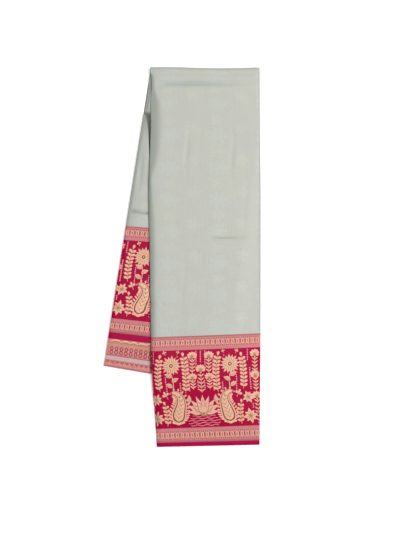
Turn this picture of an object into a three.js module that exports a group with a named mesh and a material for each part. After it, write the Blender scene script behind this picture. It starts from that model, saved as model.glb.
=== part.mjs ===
// A silk saree folded for the shelf: its length halved five times into a band, and the band laid
// over once, so that a long front drop lies on a shorter back drop that fans out to the left.
// Millimetres, +Z up. The saree lies on the plane z = 0, its top fold towards +Y, seen from above.

import * as THREE from 'three';

// ---- Driving sizes ----
const CLOTH_LENGTH = 6300; // the saree with its blouse piece, end to end
const HALVINGS = 5; // how often the length is folded in half
const BAND = CLOTH_LENGTH / 2 ** HALVINGS; // width of the folded band
const FRONT_DROP = 684; // top fold to the front hem
const BACK_DROP = 493; // top fold to the hem of the nearest back ply, along its left edge
const SECOND_DROP = 544; // top fold to the hem of the plies below it
const STACK = 11.5; // one drop of 32 plies, pressed by hand
const WALL = 1; // wall of a ply that shows
const GAP = 0.3; // clearance between neighbouring pieces
const BORDER = 201; // height of the contrast border
const FAN = THREE.MathUtils.degToRad(8.95); // turn of the back drop's left edge
const TOP_Y = FRONT_DROP / 2; // the top fold's furthest point
const LEFT_X = -57.3; // left end of the top fold
const FOLD_REACH = 24; // how far the top fold's piece runs down each drop
const NEAR_START = 82; // where the nearest back ply comes out of the fold
const SECOND_START = 478; // where the second ply starts, tucked under the nearest one
const BRIDGE = 14; // how far the front drop spans past the back drop's edge before it settles
const HEM_THICK = 6.5; // the front drop thins towards its hem

const LIFT = STACK + GAP; // underside of the front drop where it lies on the back drop
const TURN = (2 * STACK + GAP) / 2; // outer radius of the top turn
const TEARDROP = 1.5; // inner radius of the turn

// Front drop's edges: distance down from the fold, and x of each edge.
const FRONT_EDGES = [
  { down: 0, left: -57.3, right: 139.6 },
  { down: 60, left: -57.6, right: 139.8 },
  { down: 105, left: -56.8, right: 140.1 },
  { down: 150, left: -58.4, right: 140.6 },
  { down: 205, left: -59.8, right: 141.2 },
  { down: 260, left: -59.8, right: 141.4 },
  { down: 330, left: -58.8, right: 141.4 },
  { down: 420, left: -57.7, right: 141.4 },
  { down: 490, left: -56.4, right: 141.2 },
  { down: 550, left: -55.5, right: 140.7 },
  { down: 590, left: -52.8, right: 140.3 },
  { down: 635, left: -49.2, right: 140 },
  { down: 684, left: -46.3, right: 139.7 },
];
// How much higher a thread across the front drop sits at its right end than at its left.
const FRONT_RISE = [
  { down: 0, rise: 0 },
  { down: 200, rise: 2.5 },
  { down: 480, rise: 7 },
  { down: 650, rise: 7 },
  { down: 684, rise: 4 },
];
// Turn of a thread across the back drop, in degrees, by distance along the left edge.
const BACK_TURN = [
  { down: 0, turn: 0 },
  { down: 290, turn: 4.4 },
  { down: 493, turn: 6.8 },
  { down: 544, turn: 9.7 },
];
// Soft troughs pressed into the front drop: where they run and how deep they are.
const FRONT_TROUGHS = [
  { down: 31, from: 0.06, to: 0.8, half: 6, depth: 0.9 },
  { down: 305, from: 0.58, to: 0.78, half: 4, depth: 0.4 },
];

// ---- Small helpers ----
const clamp01 = (t) => Math.min(1, Math.max(0, t));
const smooth = (t) => clamp01(t) ** 2 * (3 - 2 * clamp01(t));
const mix = (a, b, t) => a + (b - a) * t;

/** Reads a column of a table at a distance down, along a smooth line through its rows. */
function read(table, column, down) {
  const last = table.length - 1;
  const at = Math.min(Math.max(down, table[0].down), table[last].down);
  let i = 0;
  while (i < last - 1 && table[i + 1].down < at) i += 1;
  const slope = (k) => {
    const a = table[Math.max(k - 1, 0)];
    const b = table[Math.min(k + 1, last)];
    return (b[column] - a[column]) / (b.down - a.down);
  };
  const [a, b] = [table[i], table[i + 1]];
  const span = b.down - a.down;
  const t = (at - a.down) / span;
  return (2 * t ** 3 - 3 * t ** 2 + 1) * a[column] + (t ** 3 - 2 * t ** 2 + t) * span * slope(i)
    + (3 * t ** 2 - 2 * t ** 3) * b[column] + (t ** 3 - t ** 2) * span * slope(i + 1);
}

/** Evenly spaced numbers from a to b, with both ends. */
const steps = (a, b, count) => Array.from({ length: count + 1 }, (_, i) => mix(a, b, i / count));

/**
 * A closed solid with the faces of a block of ni by nj by nk cells, whose corners are placed by
 * at(i, j, k). Its faces are turned outwards whichever way the block is laid out.
 */
function block(ni, nj, nk, at) {
  const numbers = new Map();
  const points = [];
  const corner = (i, j, k) => {
    const key = (i * (nj + 1) + j) * (nk + 1) + k;
    if (!numbers.has(key)) {
      numbers.set(key, points.length);
      points.push(at(i, j, k));
    }
    return numbers.get(key);
  };
  const triangles = [];
  const quad = (a, b, c, d) => triangles.push([a, b, c], [a, c, d]);
  for (let j = 0; j < nj; j += 1) {
    for (let k = 0; k < nk; k += 1) {
      quad(corner(0, j, k), corner(0, j, k + 1), corner(0, j + 1, k + 1), corner(0, j + 1, k));
      quad(corner(ni, j, k), corner(ni, j + 1, k), corner(ni, j + 1, k + 1), corner(ni, j, k + 1));
    }
  }
  for (let i = 0; i < ni; i += 1) {
    for (let k = 0; k < nk; k += 1) {
      quad(corner(i, 0, k), corner(i + 1, 0, k), corner(i + 1, 0, k + 1), corner(i, 0, k + 1));
      quad(corner(i, nj, k), corner(i, nj, k + 1), corner(i + 1, nj, k + 1), corner(i + 1, nj, k));
    }
    for (let j = 0; j < nj; j += 1) {
      quad(corner(i, j, 0), corner(i, j + 1, 0), corner(i + 1, j + 1, 0), corner(i + 1, j, 0));
      quad(corner(i, j, nk), corner(i + 1, j, nk), corner(i + 1, j + 1, nk), corner(i, j + 1, nk));
    }
  }
  const volume = triangles.reduce((sum, [a, b, c]) => (
    sum + points[a].dot(new THREE.Vector3().crossVectors(points[b], points[c]))), 0);
  const geometry = new THREE.BufferGeometry();
  geometry.setAttribute('position', new THREE.Float32BufferAttribute(points.flatMap((p) => p.toArray()), 3));
  geometry.setIndex(triangles.flatMap(([a, b, c]) => (volume > 0 ? [a, b, c] : [a, c, b])));
  geometry.computeVertexNormals();
  return geometry;
}

// ---- The two drops, as places on the surface ----

/** The top fold's slightly wavy line, fading out down the drop. */
const foldWave = (across, down) => 1.1 * Math.cos(2 * Math.PI * across - 0.94) * (1 - smooth(down / 60));

/** Plan point of the back drop: across from 0 to 1, down along its left edge. */
function backPlan(across, down) {
  const turn = THREE.MathUtils.degToRad(read(BACK_TURN, 'turn', down));
  return {
    x: LEFT_X - down * Math.sin(FAN) + across * BAND * Math.cos(turn),
    y: TOP_Y - down * Math.cos(FAN) - across * BAND * Math.sin(turn) + foldWave(across, down),
  };
}

/** Plan point of the front drop. */
function frontPlan(across, down) {
  const left = read(FRONT_EDGES, 'left', down);
  const right = read(FRONT_EDGES, 'right', down);
  return {
    x: mix(left, right, across),
    y: TOP_Y - down + across * read(FRONT_RISE, 'rise', down) + foldWave(across, down),
  };
}

/** Where a plan point lies on the back drop: millimetres across, and down its left edge. */
function onBack(x, y) {
  let down = (TOP_Y - y) / Math.cos(FAN);
  let across = 0;
  for (let round = 0; round < 6; round += 1) {
    const turn = THREE.MathUtils.degToRad(read(BACK_TURN, 'turn', down));
    across = (x - LEFT_X + down * Math.sin(FAN)) / Math.cos(turn);
    down = (TOP_Y - y - across * Math.sin(turn)) / Math.cos(FAN);
  }
  return { across, down };
}

/** Height of the front drop's underside: on the back drop, and settling to the floor past it. */
function frontFloor(x, y, down) {
  const back = onBack(x, y);
  const pastHem = smooth((back.down - BACK_DROP - BRIDGE) / 135);
  const pastSide = smooth((back.across - BAND - BRIDGE) / 90);
  const settled = LIFT * (1 - pastHem) * (1 - pastSide);
  return Math.max(settled, 0) + (TEARDROP - GAP / 2) * (1 - smooth((down - TURN) / 40));
}

/** Thickness of the front drop, outer ply included. */
function frontThick(across, down) {
  const start = STACK - (TEARDROP - GAP / 2) * (1 - smooth((down - TURN) / 40));
  const hem = smooth((down - (FRONT_DROP - 70)) / 70);
  const troughs = FRONT_TROUGHS.map((t) => {
    const along = smooth((across - t.from) / 0.1) * (1 - smooth((across - t.to) / 0.1));
    return t.depth * along * Math.exp(-(((down - t.down) / t.half) ** 2));
  });
  return mix(start, HEM_THICK, hem) - troughs.reduce((a, b) => a + b, 0);
}

/** Height of the second ply's upper face, which slopes down past the nearest ply's hem. */
const secondTop = (down) => STACK - WALL - 2 * GAP - 3.2 * smooth((down - SECOND_START) / 55);

// ---- Left fold of the front drop ----
const FOLD_OVER = 17; // how far the fold's shoulder reaches across
const FOLD_UNDER = 5; // and how far it is tucked below
const FOLD_WAIST = 0.42; // height of the fold's leftmost line, as a share of the thickness

/** A point on the left fold, inset from the outer face. Angle 90 is its shoulder and -90 its foot. */
function leftFold(down, angle, inset) {
  const side = frontPlan(0, down);
  const crown = frontFace(shoulder(down), down, 0);
  const foot = frontFloor(side.x + FOLD_UNDER, side.y, down);
  const waist = mix(foot, crown.z, FOLD_WAIST);
  const upper = angle > 0;
  const wide = upper ? crown.x - side.x : FOLD_UNDER;
  const high = upper ? crown.z - waist : waist - foot;
  const a = THREE.MathUtils.degToRad(angle);
  return new THREE.Vector3(
    side.x + wide - (wide - inset) * Math.cos(a),
    side.y,
    waist + (high - inset) * Math.sin(a),
  );
}

/** A point on the front drop's upper face, inset below it. */
function frontFace(across, down, inset) {
  const plan = frontPlan(across, down);
  const z = frontFloor(plan.x, plan.y, down) + frontThick(across, down) - inset;
  return new THREE.Vector3(plan.x, plan.y, z);
}

/** Share of the front's width where the left fold's shoulder ends. */
function shoulder(down) {
  const reach = mix(8, FOLD_OVER, smooth((down - FOLD_REACH) / 60));
  return reach / (read(FRONT_EDGES, 'right', down) - read(FRONT_EDGES, 'left', down));
}

// ---- Pieces that show ----
const LEVELS = 12; // steps through a drop's thickness, and round its left fold
const CELLS = 9; // steps across a drop
const FOLD_ANGLES = steps(-90, 90, LEVELS).slice(1, -1);

/** A stretch of the front drop's outer ply: up round the left fold, then over its face. */
function frontPly(downs) {
  return block(CELLS + FOLD_ANGLES.length, 1, downs.length - 1, (i, j, k) => {
    const inset = j * WALL;
    const cell = i - FOLD_ANGLES.length;
    if (cell < 0) return leftFold(downs[k], FOLD_ANGLES[i], inset);
    return frontFace(mix(shoulder(downs[k]), 1, cell / CELLS), downs[k], inset);
  });
}

/** A stretch of one ply of the back drop, with its upper face at the height given. */
function backPly(downs, top) {
  return block(CELLS, 1, downs.length - 1, (i, j, k) => {
    const plan = backPlan(i / CELLS, downs[k]);
    return new THREE.Vector3(plan.x, plan.y, top(downs[k]) - j * WALL);
  });
}

const TURN_STEPS = 8;
const TURN_MID = (FOLD_REACH + TURN) / 2; // a row between the turn and the end of its piece

/** A point of the top turn: angle 90 is the front drop's face and -90 the back drop's underside. */
function onTurn(across, angle, radius) {
  const a = THREE.MathUtils.degToRad(angle);
  const front = frontPlan(across, TURN);
  const back = backPlan(across, TURN);
  const share = (angle + 90) / 180;
  return new THREE.Vector3(
    mix(back.x, front.x, share),
    mix(back.y, front.y, share) + radius * Math.cos(a),
    TURN + radius * Math.sin(a),
  );
}

/** The top fold: the outer ply from the underside, over the turn, to the front drop's face. */
function topFold() {
  const onUnder = [FOLD_REACH, TURN_MID];
  const angles = steps(-90, 90, TURN_STEPS);
  const onFront = [TURN_MID, FOLD_REACH];
  return block(CELLS, 1, onUnder.length + angles.length + onFront.length - 1, (i, j, k) => {
    const across = i / CELLS;
    const turned = k - onUnder.length;
    if (turned >= angles.length) return frontFace(across, onFront[turned - angles.length], j * WALL);
    if (turned >= 0) return onTurn(across, angles[turned], TURN - j * WALL);
    const plan = backPlan(across, onUnder[k]);
    return new THREE.Vector3(plan.x, plan.y, j * WALL);
  });
}

// ---- Hidden layers ----
const GROOVE = 1.3; // depth of the grooves between the bundles of plies that show at the edges
const SKIN = WALL + GAP; // what lies outside the hidden layers where a ply covers them

/** How far in from the edge a side of the hidden layers is at a level: crests are uneven. */
function sideInset(level, seed) {
  if (level % 2 === 0) return GROOVE;
  return 0.25 + 0.25 * Math.sin(seed + 2.4 * level);
}

/** A point of the hidden layers in the back drop. Level 0 is the lowest. */
function coreBack(cell, level, down, cut) {
  const ends = cut ? sideInset(level, 1) : 0;
  const bottom = SKIN;
  const underSecond = secondTop(down) - SKIN;
  const top = down > SECOND_START - 6 ? Math.min(underSecond, STACK - SKIN) : STACK - SKIN;
  const inset = { 0: sideInset(level, 0), [CELLS]: -sideInset(level, 3) }[cell] ?? 0;
  const plan = backPlan(cell / CELLS, down - ends);
  return new THREE.Vector3(plan.x + inset, plan.y, mix(bottom, top, level / LEVELS));
}

/** A point of the hidden layers in the top turn. Level 0 is the outermost. */
function coreTurn(cell, level, angle) {
  const inset = { 0: sideInset(level, 0), [CELLS]: -sideInset(level, 3) }[cell] ?? 0;
  const point = onTurn(cell / CELLS, angle, mix(TURN - SKIN, TEARDROP, level / LEVELS));
  point.x += inset;
  return point;
}

/** A point of the hidden layers in the front drop. Level 0 is the uppermost. */
function coreFront(cell, level, down, cut) {
  const ends = cut ? sideInset(level, 2) : 0;
  const rise = 1 - level / LEVELS;
  const at = down - ends;
  if (cell === 0) {
    const rounded = leftFold(at, mix(-90, 90, rise), SKIN);
    const plan = frontPlan(0, at);
    const low = frontFloor(plan.x, plan.y, at);
    const straight = new THREE.Vector3(
      plan.x + sideInset(level, 0),
      plan.y,
      mix(low, low + frontThick(0, at) - SKIN, rise),
    );
    return straight.lerp(rounded, smooth((at - TURN) / (FOLD_REACH - GAP - TURN)));
  }
  const leftEnd = mix(FOLD_UNDER / BAND, shoulder(at), rise);
  const across = mix(leftEnd, 1, cell / CELLS);
  const plan = frontPlan(across, at);
  const low = frontFloor(plan.x, plan.y, at);
  const point = new THREE.Vector3(plan.x, plan.y, mix(low, low + frontThick(across, at) - SKIN, rise));
  if (cell === CELLS) point.x -= sideInset(level, 3);
  return point;
}

const frontSeam = FRONT_DROP - BORDER;
const backSeam = BACK_DROP - BORDER;
const underSeam = SECOND_DROP - BORDER;
const FIELD_ROWS = [31, 40, 55, 80, ...steps(110, frontSeam, 11).slice(0, -1)];
const BORDER_ROWS = [...steps(frontSeam, 640, 5).slice(1), 660, 674];

/** The other plies, from the back hem, up the back drop, round the turn and down the front. */
function hiddenLayers() {
  const back = [SECOND_DROP - 1, 533, 520, 505, 490, SECOND_START, SECOND_START - 7,
    ...steps(430, 40, 8), TURN];
  const turn = steps(-90, 90, TURN_STEPS).slice(1, -1);
  const front = [TURN, TURN_MID, FOLD_REACH - GAP, ...FIELD_ROWS, frontSeam, ...BORDER_ROWS,
    FRONT_DROP - 1.5];
  const stations = [
    ...back.map((down, n) => (cell, level) => coreBack(cell, LEVELS - level, down, n === 0)),
    ...turn.map((angle) => (cell, level) => coreTurn(cell, LEVELS - level, angle)),
    ...front.map((down, n) => (cell, level) => coreFront(cell, LEVELS - level, down, n === front.length - 1)),
  ];
  return block(CELLS, LEVELS, stations.length - 1, (i, j, k) => stations[k](i, j));
}

// ---- Materials ----
const silk = new THREE.MeshStandardMaterial({ color: '#c5c8bf', roughness: 0.45, metalness: 0.15 });
const crimson = new THREE.MeshStandardMaterial({ color: '#b3124a', roughness: 0.5, metalness: 0.1 });
const salmon = new THREE.MeshStandardMaterial({ color: '#cf8f85', roughness: 0.5, metalness: 0.2 });
const inner = new THREE.MeshStandardMaterial({ color: '#b9bdb3', roughness: 0.55, metalness: 0.1 });

// ---- The saree ----
const saree = new THREE.Group();

function add(name, geometry, material) {
  const mesh = new THREE.Mesh(geometry, material);
  mesh.name = name;
  saree.add(mesh);
}

const nearest = () => STACK;
const underneath = () => WALL;

add('top_fold', topFold(), silk);
add('front_field', frontPly([FOLD_REACH + GAP, ...FIELD_ROWS, frontSeam - GAP / 2]), silk);
add('front_border', frontPly([frontSeam + GAP / 2, ...BORDER_ROWS, FRONT_DROP]), crimson);
add('back_field', backPly(steps(NEAR_START, backSeam - GAP / 2, 6), nearest), silk);
add('back_border', backPly(steps(backSeam + GAP / 2, BACK_DROP, 6), nearest), crimson);
add('second_border', backPly([SECOND_START, 490, 505, 520, 533, SECOND_DROP], secondTop), salmon);
add('under_field', backPly(steps(FOLD_REACH + GAP, underSeam - GAP / 2, 7), underneath), silk);
add('under_border', backPly(steps(underSeam + GAP / 2, SECOND_DROP - 0.5, 5), underneath), crimson);
add('hidden_layers', hiddenLayers(), inner);

// The origin is the middle of the footprint, on the surface the saree lies on.
const centre = new THREE.Box3().setFromObject(saree).getCenter(new THREE.Vector3());
saree.children.forEach((mesh) => mesh.geometry.translate(-centre.x, -centre.y, 0));

export default saree;
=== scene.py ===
"""A silk saree folded for the shelf: a long front drop lies on a shorter back drop that fans out."""

import math

import bmesh
import bpy
import mathutils
import numpy as np
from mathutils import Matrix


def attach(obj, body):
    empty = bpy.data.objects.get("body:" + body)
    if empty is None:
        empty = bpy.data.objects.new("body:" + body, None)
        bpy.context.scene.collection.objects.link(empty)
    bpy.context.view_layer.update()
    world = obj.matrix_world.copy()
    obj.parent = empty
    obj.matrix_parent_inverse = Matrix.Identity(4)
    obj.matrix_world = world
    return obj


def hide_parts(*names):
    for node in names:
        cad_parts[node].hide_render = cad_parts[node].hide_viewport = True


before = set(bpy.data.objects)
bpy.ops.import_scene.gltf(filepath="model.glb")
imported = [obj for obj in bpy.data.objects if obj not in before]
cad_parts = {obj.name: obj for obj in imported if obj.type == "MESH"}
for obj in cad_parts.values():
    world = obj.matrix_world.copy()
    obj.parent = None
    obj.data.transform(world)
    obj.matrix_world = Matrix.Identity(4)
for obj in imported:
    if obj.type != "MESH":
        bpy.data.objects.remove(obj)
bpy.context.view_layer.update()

scene = bpy.context.scene

# ---- Sizes shared with the solids, in millimetres ----
BAND = 6300 / 32  # width of the folded band: a saree with its blouse piece, in 32 plies
FRONT_DROP = 684.0  # from the top turn to each hem
BACK_DROP = 493.0
SECOND_DROP = 544.0
STACK = 11.5  # thickness of one drop
GAP = 0.3
BORDER = 201.0
FAN = math.radians(8.95)  # turn of the back drop's left edge
TOP_Y = FRONT_DROP / 2
LEFT_X = -57.3
NEAR_START = 82.0  # where the nearest back ply comes out of the fold
SECOND_START = 478.0  # where the second border starts, tucked under the nearest ply
HEM_THICK = 6.5  # the front drop thins towards its hem
LIFT = STACK + GAP  # underside of the front drop where it lies on the back drop
TURN = (2 * STACK + GAP) / 2  # outer radius of the top turn
TEARDROP = 1.5  # inner radius of the turn
BRIDGE = 14.0  # how far the front drop spans past the back drop's edge before it settles
SKIN = 1.3  # what lies outside the hidden layers
FOLD_UNDER = 5.0  # how far the left fold is tucked below
CENTRE = np.array([-0.260, 0.504, 0.0])  # the footprint's middle, in the plan used below
FRONT_SEAM = FRONT_DROP - BORDER + 2.4
BACK_SEAM = BACK_DROP - BORDER - 3.5
UNDER_DROP = SECOND_DROP - 0.5
UNDER_SEAM = SECOND_DROP - BORDER
PLY = 0.7  # how thick a ply that shows is made

FRONT_ROWS = [0, 12, 18, 26, 42, 62, 105, 150, 205, 260, 330, 420, 490, 550, 590, 635, 684]
FRONT_LEFT = [-57.3, -57.1, -55.6, -54.7, -55.4, -57.2, -56.8, -58.4, -59.8, -59.8, -58.8, -57.7, -56.4,
              -55.5, -52.8, -49.2, -46.3]
FRONT_RIGHT = [139.6, 139.6, 139.6, 139.7, 139.7, 139.8, 140.1, 140.6, 141.2, 141.4, 141.4, 141.4, 141.2,
               140.7, 140.3, 140, 139.7]
RISE_ROWS, RISE = [0, 200, 480, 650, 684], [0, 2.5, 7, 7, 4]
# left fold of the front drop: how far it reaches over, how high its edge is, how straight its slope is
FOLD_ROWS = [14, 30, 40, 50, 64, 90, 150, 176, 200, 222, 290, 400, 684]
FOLD_REACH = [5, 4.5, 6, 12, 20, 22, 21, 14, 5.5, 7, 11.5, 11, 11]
FOLD_WAIST = [0.3, 0.2, 0.14, 0.08, 0.05, 0.1, 0.18, 0.36, 0.42, 0.42, 0.38, 0.38, 0.38]
FOLD_SLOPE = [0, 0, 0.2, 0.7, 0.95, 0.95, 0.9, 0.5, 0.1, 0.2, 0.5, 0.5, 0.4]
# edge of the nearest back ply where it comes out from under the fold: how far in it runs
NOTCH_ROWS, NOTCH = [81, 92, 110, 141, 177, 223, 250], [0, 6.1, 12.5, 19.1, 25.9, 34.5, 46]
TURN_ROWS, TURNS = [0, 290, 493, 544], [0, 4.4, 6.8, 9.7]


def smooth(t):
    t = np.clip(t, 0, 1)
    return t * t * (3 - 2 * t)


def mix(a, b, t):
    return a + (b - a) * t


def bell(x, middle, half):
    return np.exp(-(((x - middle) / half) ** 2))


def ease(x, start, soft):
    """0 up to start, then easing up to 1 over soft."""
    return smooth((x - start) / soft)


def between(x, start, end, soft):
    """1 between start and end, easing off over soft at both."""
    return ease(x, start, soft) * (1 - ease(x, end, soft))


def read(rows, values, down):
    """A smooth line through a table, read at each distance down."""
    rows, values = np.array(rows, float), np.array(values, float)
    down = np.asarray(down, float)
    at = np.clip(down, rows[0], rows[-1])
    last = len(rows) - 1
    i = np.clip(np.searchsorted(rows, at, side="left") - 1, 0, last - 1)
    before, after = np.maximum(np.arange(last + 1) - 1, 0), np.minimum(np.arange(last + 1) + 1, last)
    slope = (values[after] - values[before]) / (rows[after] - rows[before])
    span = rows[i + 1] - rows[i]
    t = (at - rows[i]) / span
    return ((2 * t**3 - 3 * t**2 + 1) * values[i] + (t**3 - 2 * t**2 + t) * span * slope[i]
            + (3 * t**2 - 2 * t**3) * values[i + 1] + (t**3 - t**2) * span * slope[i + 1])


def ripple(seed, u, v, size, octaves=3):
    """Soft, uneven relief between about -1 and 1, the same every run. size is in millimetres."""
    rng = np.random.default_rng(seed)
    total = 0
    for k in range(octaves):
        for _ in range(4):
            angle, phase = rng.uniform(0, 2 * np.pi, 2)
            pitch = size * rng.uniform(0.7, 1.4) / 1.8**k
            way = u * np.cos(angle) + v * np.sin(angle)
            total = total + np.sin(2 * np.pi * way / pitch + phase) / 1.7**k
    return total / 4.5


# ---- The drops as places: plan points and heights ----
def fold_wave(across, down):
    return 1.1 * np.cos(2 * np.pi * across - 0.94) * (1 - smooth(down / 60))


def back_plan(across, down):
    turn = np.radians(read(TURN_ROWS, TURNS, down))
    x = LEFT_X - down * np.sin(FAN) + across * BAND * np.cos(turn)
    y = TOP_Y - down * np.cos(FAN) - across * BAND * np.sin(turn) + fold_wave(across, down)
    return x, y


def front_left(down):
    notches = 0.9 * bell(down, 337, 7) + 1.1 * bell(down, 426, 8) + 0.5 * bell(down, 612, 6)
    return read(FRONT_ROWS, FRONT_LEFT, down) + notches


def front_right(down):
    return read(FRONT_ROWS, FRONT_RIGHT, down)


def front_plan(across, down):
    left, right = front_left(down), front_right(down)
    y = TOP_Y - down + across * read(RISE_ROWS, RISE, down) + fold_wave(across, down)
    return mix(left, right, across), y


def on_back(x, y):
    """Where a plan point lies on the back drop: millimetres across, and down its left edge."""
    down, across = (TOP_Y - y) / np.cos(FAN), 0
    for _ in range(6):
        turn = np.radians(read(TURN_ROWS, TURNS, down))
        across = (x - LEFT_X + down * np.sin(FAN)) / np.cos(turn)
        down = (TOP_Y - y - across * np.sin(turn)) / np.cos(FAN)
    return across, down


def front_floor(x, y, down):
    across, back_down = on_back(x, y)
    past_hem = ease(back_down, BACK_DROP + BRIDGE, 135)
    past_side = ease(across, BAND + BRIDGE, 90)
    settled = np.maximum(LIFT * (1 - past_hem) * (1 - past_side), 0)
    return settled + (TEARDROP - GAP / 2) * (1 - ease(down, TURN, 40))


TOP_CREASE, LOW_CREASE = 30.5, 308.0  # the two creases across the front drop, at its left edge
# furrows down the front drop: how far across, middle, half length and depth
FRONT_FURROWS = [(0.336, 150, 30, 0.55), (0.4545, 138, 30, 0.18), (0.58, 152, 40, 0.12),
                 (0.745, 156, 36, 0.5), (0.86, 250, 60, 0.2), (0.3, 400, 50, 0.2)]


def front_relief(across, down):
    """Creases pressed into the front drop's face, down being negative."""
    top_line, low_line = TOP_CREASE - 4 * across, LOW_CREASE + 3 * across
    weaker = 1 - 0.45 * ease(across, 0.4, 0.3)
    relief = -1.5 * between(across, 0.05, 0.72, 0.14) * weaker * bell(down, top_line, 4.2)
    relief *= 0.8 + 0.2 * ripple(3, across * 190, 0, 60)
    relief += 0.4 * between(across, 0.02, 0.9, 0.1) * (bell(down, 17.5, 4) + bell(down, top_line + 9, 5))
    relief += -0.75 * between(across, 0.5, 0.84, 0.08) * bell(down, low_line, 2.6)
    relief += 0.22 * between(across, 0.48, 0.86, 0.08) * bell(down, low_line + 7, 4)
    for middle, at, long, deep in FRONT_FURROWS:
        lean = 0.012 * np.sin((down - at) / 30)
        relief += -deep * bell(across + lean, middle, 0.021) * bell(down, at, long)
    relief += -0.45 * bell(across, 0.1, 0.012) * bell(down, 426, 3)
    return relief + 0.3 * ripple(11, across * 190, down, 120) * smooth(down / 30)


def front_thick(across, down):
    start = STACK - (TEARDROP - GAP / 2) * (1 - ease(down, TURN, 40))
    thick = mix(start, HEM_THICK, ease(down, FRONT_DROP - 70, 70))
    edge_roll = 2.2 * np.clip((across - 0.976) / 0.024, 0, 1) ** 2.6
    hem_roll = 0.8 * ease(down, FRONT_DROP - 7, 7) ** 2
    return thick + front_relief(across, down) - (edge_roll + hem_roll)


def front_top(across, down):
    x, y = front_plan(across, down)
    return front_floor(x, y, down) + front_thick(across, down)


def visible_back(across, down):
    """1 where the back drop shows beside the front drop, 0 where it is covered."""
    x, _ = back_plan(across, down)
    return 1 - ease(x, front_left(down) - 9, 10)


BACK_CREASE, CREASE_SLOPE = 260.7, 0.07  # the crease across the nearest back ply


def back_top(across, down):
    """Upper face of the nearest back ply, and of the plies where it would be."""
    side = across * BAND
    roll = 2.6 * (1 - np.clip(side / 6, 0, 1)) ** 2.2 + 0.8 * ease(side, BAND - 5, 5) ** 2
    crease, open_side = BACK_CREASE + CREASE_SLOPE * side, 1 - ease(side, 34, 8)
    relief = -2.0 * bell(down, crease, 2.4) * ease(side, 0.5, 8) * open_side
    relief += 0.6 * bell(down, crease + 7, 4.5) * open_side
    relief += 0.4 * ripple(21, side, down, 95)
    relief += -0.9 * bell(side - 0.08 * (down - 185), 11, 4) * bell(down, 190, 34)
    lifted = np.clip(1 - (read(NOTCH_ROWS, NOTCH, down) - side) / 7, 0, 1) ** 2
    relief += 1.7 * lifted * ease(down, 86, 12) * (1 - ease(down, 112, 40))
    return STACK - roll + relief * visible_back(across, down)


NOTCH_TOP, NOTCH_RAMP = 78.0, 8.0  # where the wedge sets in, and over how long a ramp
NOTCH_CLOSES, NOTCH_EASE = 205, 30  # where it starts to close again, and over how long a ramp
NOTCH_DEEP, NOTCH_WALL = 9.8, 1.5  # how deep it gets, and how far it runs in under the front drop
WEDGE_PAINTED_SHADE = 0.42  # painted shade: the inner plies in the wedge are darkened in colour to stand for the shade deep in it
ABOVE_PAINTED_SHADE = 0.84  # painted shade too, lighter, on what shows of the inner plies above the wedge


def notch_span(down):
    """Where the inner plies fall away beside the nearest ply's edge, and where they rise again."""
    turn = np.radians(read(TURN_ROWS, TURNS, down))
    wall = (front_left(down) - LEFT_X + down * np.sin(FAN)) / np.cos(turn) + NOTCH_WALL
    edge = read(NOTCH_ROWS, NOTCH, down)
    return edge, np.maximum(wall, edge + 3)


def notch_open(down):
    """How far the wedge has opened at each distance down."""
    return ease(down, NOTCH_TOP, NOTCH_RAMP)


def notch_past(across, down):
    """Share of the way from the nearest ply's edge to where the inner plies rise again."""
    edge, wall = notch_span(down)
    return (across * BAND - edge) / (wall - edge)


def notch_depth(across, down):
    """How far the inner plies lie below the nearest ply: deepest at its edge, rising to the front drop."""
    past = notch_past(across, down)
    shape = np.where(past < -1e-6, 0, 1 - np.clip(past, 0, 1) ** 1.2)
    return NOTCH_DEEP * shape * notch_open(down) * (1 - ease(down, NOTCH_CLOSES, NOTCH_EASE))


def second_top(across, down):
    roll = 0.7 * (1 - smooth(across * BAND / 3)) ** 2
    drop = 3.2 * ease(down, SECOND_START, 55)
    sag = 0.25 * ripple(23, across * BAND, down, 70) * visible_back(across, down)
    return STACK - SKIN - GAP - drop - roll + sag


# a straight slope that eases off at the shoulder: share of the reach, and of the height
SLOPE_IN = [0, 0.02, 0.42, 0.52, 0.61, 0.69, 0.77, 0.85, 1]
SLOPE_UP = [0, 0.13, 0.69, 0.81, 0.895, 0.948, 0.98, 0.995, 1]


def slope_in(up, straight):
    """How far in the fold's face is at each share of its height: a quarter round, or the straight slope."""
    return mix(1 - np.sqrt(np.maximum(1 - up**2, 0)), np.interp(up, SLOPE_UP, SLOPE_IN), straight)


def fold_shape(down):
    """The left fold: its edge in plan, its reach and slope, and how high its shoulder, edge and foot are."""
    reach, share, slope = (read(FOLD_ROWS, values, down) for values in (FOLD_REACH, FOLD_WAIST, FOLD_SLOPE))
    side_x, side_y = front_plan(0, down)
    crown = front_top(reach / (front_right(down) - front_left(down)), down)
    foot = front_floor(side_x + FOLD_UNDER, side_y, down)
    return side_x, side_y, reach, slope, crown, mix(foot, crown, share), foot


FOLD_POINTS = 16
FOLD_FROM = -76  # degrees round the fold where its section starts, 0 being its outermost line
OUTERMOST = FOLD_POINTS * -FOLD_FROM // (90 - FOLD_FROM)
FOLD_SHARES = np.linspace(0.05, 1, FOLD_POINTS, endpoint=False)


def fold_profile(down, inset):
    """Left fold's cross-section from its foot to its shoulder, at each distance down."""
    angle = np.radians(np.linspace(FOLD_FROM, 90, FOLD_POINTS, endpoint=False))[None, :]
    side_x, side_y, reach, slope, crown, waist, foot = fold_shape(down[:, None])
    wide = np.where(angle > 0, reach, FOLD_UNDER)
    high = np.where(angle > 0, crown - waist, waist - foot)
    up = np.abs(np.sin(angle))
    inward = np.where(angle > 0, slope_in(up, slope), 1 - np.cos(angle))
    x = side_x + wide - np.maximum(wide - inset, 0.05) * (1 - inward)
    z = waist + np.maximum(high - inset, 0.05) * np.sign(angle) * up
    return np.stack([x, side_y + 0 * x, z], axis=-1)


GRID = 1.9  # how far apart the points of a sheet are
FACE = int(180 / GRID)


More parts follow.
